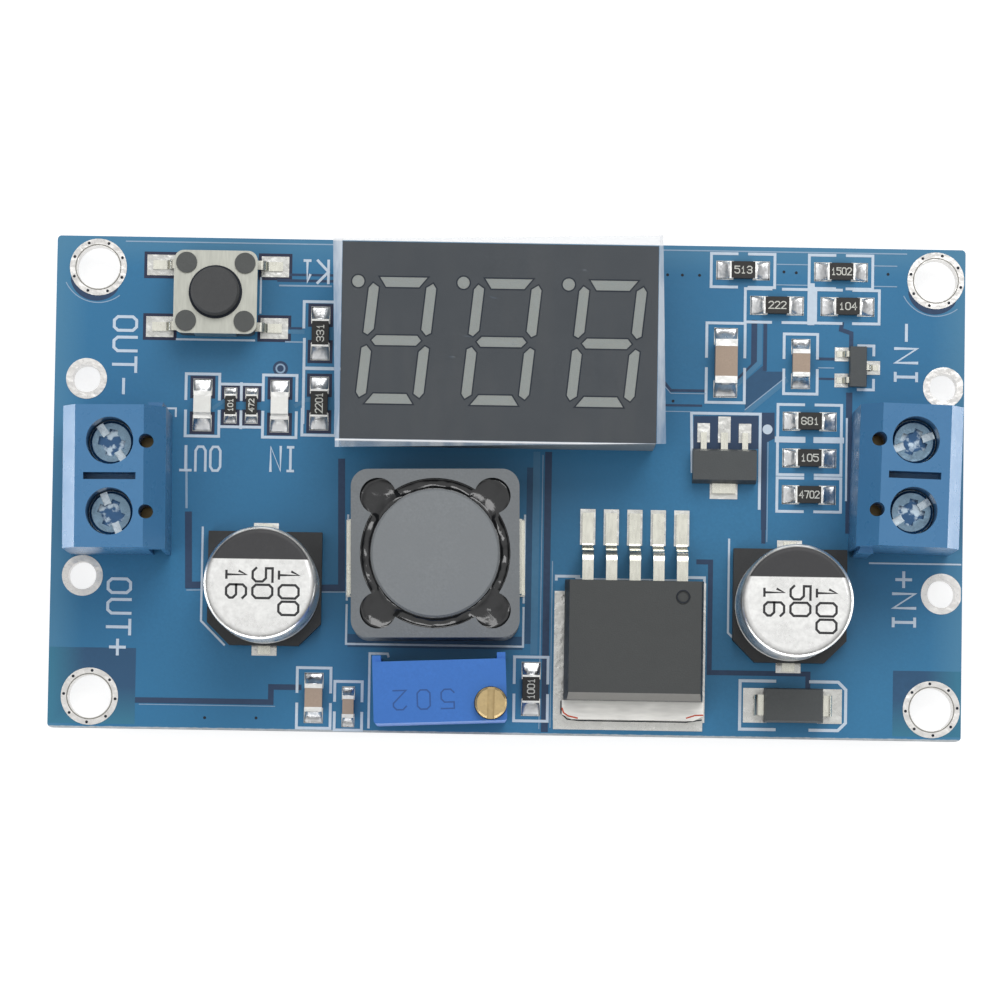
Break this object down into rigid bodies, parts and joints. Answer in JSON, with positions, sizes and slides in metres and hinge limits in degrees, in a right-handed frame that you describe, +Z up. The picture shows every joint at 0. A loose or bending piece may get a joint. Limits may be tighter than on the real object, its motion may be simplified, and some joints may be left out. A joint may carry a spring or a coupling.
{
  "type": "buck converter module",
  "caption": "Rectangular step-down power module: board with screw terminals, regulator, inductor, can capacitors, trimmer, push switch and three-digit meter.",
  "frame": {"origin": "middle of the board in plan, on the plane that the pin tips under the board stand on", "axes": "+Z up out of the component side, +X from the output terminals to the input terminals, +Y towards the long edge beside the display"},
  "size_m": [0.066, 0.0358, 0.0137],
  "materials": {
    "board": "glossy blue solder mask over glass-epoxy",
    "tin": "bright tinned metal",
    "solder": "smooth bright solder",
    "terminal_plastic": "satin moulded blue plastic",
    "contact_brass": "satin brass",
    "steel": "zinc-plated steel",
    "cover_steel": "satin stamped steel",
    "black_plastic": "matt black plastic",
    "display_plastic": "dark grey face, matt",
    "segment_resin": "milky grey resin, unlit",
    "clear_film": "thin clear plastic film",
    "ferrite": "matt grey ferrite",
    "copper": "enamelled copper wire",
    "glue": "shiny black adhesive",
    "can_aluminium": "brushed aluminium can",
    "moulding": "matt black moulding compound",
    "trimmer_plastic": "satin blue plastic",
    "resistor_glass": "black glass coat",
    "capacitor_ceramic": "sintered brown ceramic",
    "led_resin": "pale diffusing resin"
  },
  "bodies": {
    "root": {"circuit_board": "board", "plated_holes": "tin", "surface_pads": "tin", "solder_joints": "solder", "left_terminal_housing": "terminal_plastic", "right_terminal_housing": "terminal_plastic", "terminal_contacts": "contact_brass", "switch_base": "black_plastic", "switch_cover": "cover_steel", "switch_dome": "steel", "switch_legs": "tin", "display_housing": "display_plastic", "display_segments": "segment_resin", "display_backing": "display_plastic", "display_pins": "tin", "display_film": "clear_film", "inductor_shield": "ferrite", "inductor_drum": "ferrite", "inductor_winding": "copper", "inductor_glue": "glue", "inductor_terminals": "tin", "left_capacitor_can": "can_aluminium", "right_capacitor_can": "can_aluminium", "left_capacitor_base": "black_plastic", "right_capacitor_base": "black_plastic", "capacitor_leads": "tin", "regulator_body": "moulding", "regulator_tab": "tin", "regulator_leads": "tin", "trimmer_housing": "trimmer_plastic", "trimmer_pins": "tin", "diode_body": "moulding", "diode_leads": "tin", "small_regulator_body": "moulding", "small_regulator_leads": "tin", "transistor_body": "moulding", "transistor_leads": "tin", "resistor_bodies": "resistor_glass", "resistor_ends": "tin", "ceramic_capacitor_bodies": "capacitor_ceramic", "ceramic_capacitor_ends": "tin", "led_bodies": "led_resin", "led_ends": "tin", "meter_chip_body": "moulding", "meter_chip_leads": "tin"},
    "switch_button": {"switch_button": "black_plastic"},
    "trimmer_screw": {"trimmer_screw": "contact_brass"},
    "clamp_screw_out_minus": {"clamp_screw_out_minus": "steel"},
    "wire_clamp_out_minus": {"wire_clamp_out_minus": "steel"},
    "clamp_screw_out_plus": {"clamp_screw_out_plus": "steel"},
    "wire_clamp_out_plus": {"wire_clamp_out_plus": "steel"},
    "clamp_screw_in_minus": {"clamp_screw_in_minus": "steel"},
    "wire_clamp_in_minus": {"wire_clamp_in_minus": "steel"},
    "clamp_screw_in_plus": {"clamp_screw_in_plus": "steel"},
    "wire_clamp_in_plus": {"wire_clamp_in_plus": "steel"}
  },
  "joints": [
    {"name": "button_press", "type": "slide", "parent": "root", "child": "switch_button", "axis": [0, 0, -1], "range_m": [0, 0.00025], "stiffness_N_per_m": 800, "deforming": ["switch_dome"]},
    {"name": "trimmer_turn", "type": "hinge", "parent": "root", "child": "trimmer_screw", "pos_m": [-0.00104, -0.01587, 0.012], "axis": [0, 0, 1], "continuous": true},
    {"name": "screw_turn_out_minus", "type": "hinge", "parent": "root", "child": "clamp_screw_out_minus", "pos_m": [-0.02823, 0.00223, 0.009], "axis": [0, 0, 1], "range_deg": [-1440, 0]},
    {"name": "clamp_lift_out_minus", "type": "slide", "parent": "root", "child": "wire_clamp_out_minus", "axis": [0, 0, 1], "range_m": [0, 0.0018]},
    {"name": "screw_turn_out_plus", "type": "hinge", "parent": "root", "child": "clamp_screw_out_plus", "pos_m": [-0.02817, -0.00277, 0.009], "axis": [0, 0, 1], "range_deg": [-1440, 0]},
    {"name": "clamp_lift_out_plus", "type": "slide", "parent": "root", "child": "wire_clamp_out_plus", "axis": [0, 0, 1], "range_m": [0, 0.0018]},
    {"name": "screw_turn_in_minus", "type": "hinge", "parent": "root", "child": "clamp_screw_in_minus", "pos_m": [0.02871, 0.00319, 0.009], "axis": [0, 0, 1], "range_deg": [-1440, 0]},
    {"name": "clamp_lift_in_minus", "type": "slide", "parent": "root", "child": "wire_clamp_in_minus", "axis": [0, 0, 1], "range_m": [0, 0.0018]},
    {"name": "screw_turn_in_plus", "type": "hinge", "parent": "root", "child": "clamp_screw_in_plus", "pos_m": [0.02859, -0.0018, 0.009], "axis": [0, 0, 1], "range_deg": [-1440, 0]},
    {"name": "clamp_lift_in_plus", "type": "slide", "parent": "root", "child": "wire_clamp_in_plus", "axis": [0, 0, 1], "range_m": [0, 0.0018]}
  ],
  "couplings": [
    {"joint": "screw_turn_out_minus", "follows": "clamp_lift_out_minus", "rad_per_m": -13963},
    {"joint": "screw_turn_out_plus", "follows": "clamp_lift_out_plus", "rad_per_m": -13963},
    {"joint": "screw_turn_in_minus", "follows": "clamp_lift_in_minus", "rad_per_m": -13963},
    {"joint": "screw_turn_in_plus", "follows": "clamp_lift_in_plus", "rad_per_m": -13963}
  ]
}
